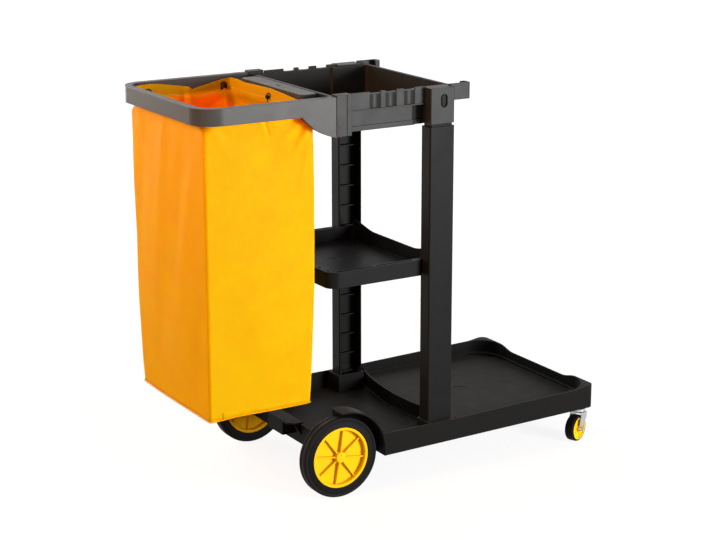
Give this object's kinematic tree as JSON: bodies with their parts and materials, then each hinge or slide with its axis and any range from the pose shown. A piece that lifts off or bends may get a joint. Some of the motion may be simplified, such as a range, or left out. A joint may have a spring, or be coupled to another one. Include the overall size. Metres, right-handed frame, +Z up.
{
  "type": "janitor cart",
  "caption": "Wheeled janitor cart with a front platform, posts, a middle shelf, a top tray with handle notches, and a soft bag hung in a U-shaped frame.",
  "frame": {"origin": "on the floor under the middle of the cart's box", "axes": "+X to the platform end, the bag at -X, +Y to the left side, +Z up"},
  "size_m": [1.12, 0.505, 0.988],
  "materials": {
    "charcoal_plastic": "fine moulded grain, charcoal",
    "bag_cloth": "coated bag cloth, golden yellow",
    "black_plastic": "smooth black",
    "yellow_plastic": "smooth yellow",
    "tyre_rubber": "dull black rubber",
    "zinc_steel": "bright zinc plate",
    "bare_steel": "plain steel"
  },
  "bodies": {
    "cart": {"base_deck": "charcoal_plastic", "left_post": "charcoal_plastic", "right_post": "charcoal_plastic", "mid_shelf": "charcoal_plastic", "top_tray": "charcoal_plastic", "bag_frame": "charcoal_plastic", "bag_crossbar": "charcoal_plastic", "bag": "bag_cloth", "bag_pegs": "black_plastic", "bag_eyelets": "black_plastic", "rear_axle": "bare_steel", "axle_spacers": "bare_steel", "axle_clips": "bare_steel", "right_caster_stem": "zinc_steel", "left_caster_stem": "zinc_steel", "right_caster_balls": "bare_steel", "left_caster_balls": "bare_steel", "post_foot_screws": "bare_steel", "bag_frame_screws": "bare_steel", "shelf_pegs": "charcoal_plastic"},
    "right_wheel": {"right_hub": "yellow_plastic", "right_bush": "black_plastic", "right_cap": "yellow_plastic", "right_tyre": "tyre_rubber"},
    "right_swivel": {"right_caster_fork": "zinc_steel", "right_caster_bolt": "bare_steel", "right_caster_nut": "bare_steel"},
    "right_roller": {"right_caster_hub": "yellow_plastic", "right_caster_tyre": "tyre_rubber"},
    "left_wheel": {"left_hub": "yellow_plastic", "left_bush": "black_plastic", "left_cap": "yellow_plastic", "left_tyre": "tyre_rubber"},
    "left_swivel": {"left_caster_fork": "zinc_steel", "left_caster_bolt": "bare_steel", "left_caster_nut": "bare_steel"},
    "left_roller": {"left_caster_hub": "yellow_plastic", "left_caster_tyre": "tyre_rubber"}
  },
  "joints": [
    {"name": "right_wheel_spin", "type": "hinge", "parent": "cart", "child": "right_wheel", "pos_m": [-0.21, -0.2285, 0.1016], "axis": [0, 1, 0], "continuous": true},
    {"name": "left_wheel_spin", "type": "hinge", "parent": "cart", "child": "left_wheel", "pos_m": [-0.21, 0.2285, 0.1016], "axis": [0, 1, 0], "continuous": true},
    {"name": "right_caster_swivel", "type": "hinge", "parent": "cart", "child": "right_swivel", "pos_m": [0.54, -0.216, 0.07], "axis": [0, 0, 1], "continuous": true},
    {"name": "right_caster_spin", "type": "hinge", "parent": "right_swivel", "child": "right_roller", "pos_m": [0.52377, -0.22256, 0.035], "axis": [-0.3746, 0.9272, 0], "continuous": true},
    {"name": "left_caster_swivel", "type": "hinge", "parent": "cart", "child": "left_swivel", "pos_m": [0.54, 0.216, 0.07], "axis": [0, 0, 1], "continuous": true},
    {"name": "left_caster_spin", "type": "hinge", "parent": "left_swivel", "child": "left_roller", "pos_m": [0.52377, 0.20944, 0.035], "axis": [-0.3746, 0.9272, 0], "continuous": true}
  ]
}
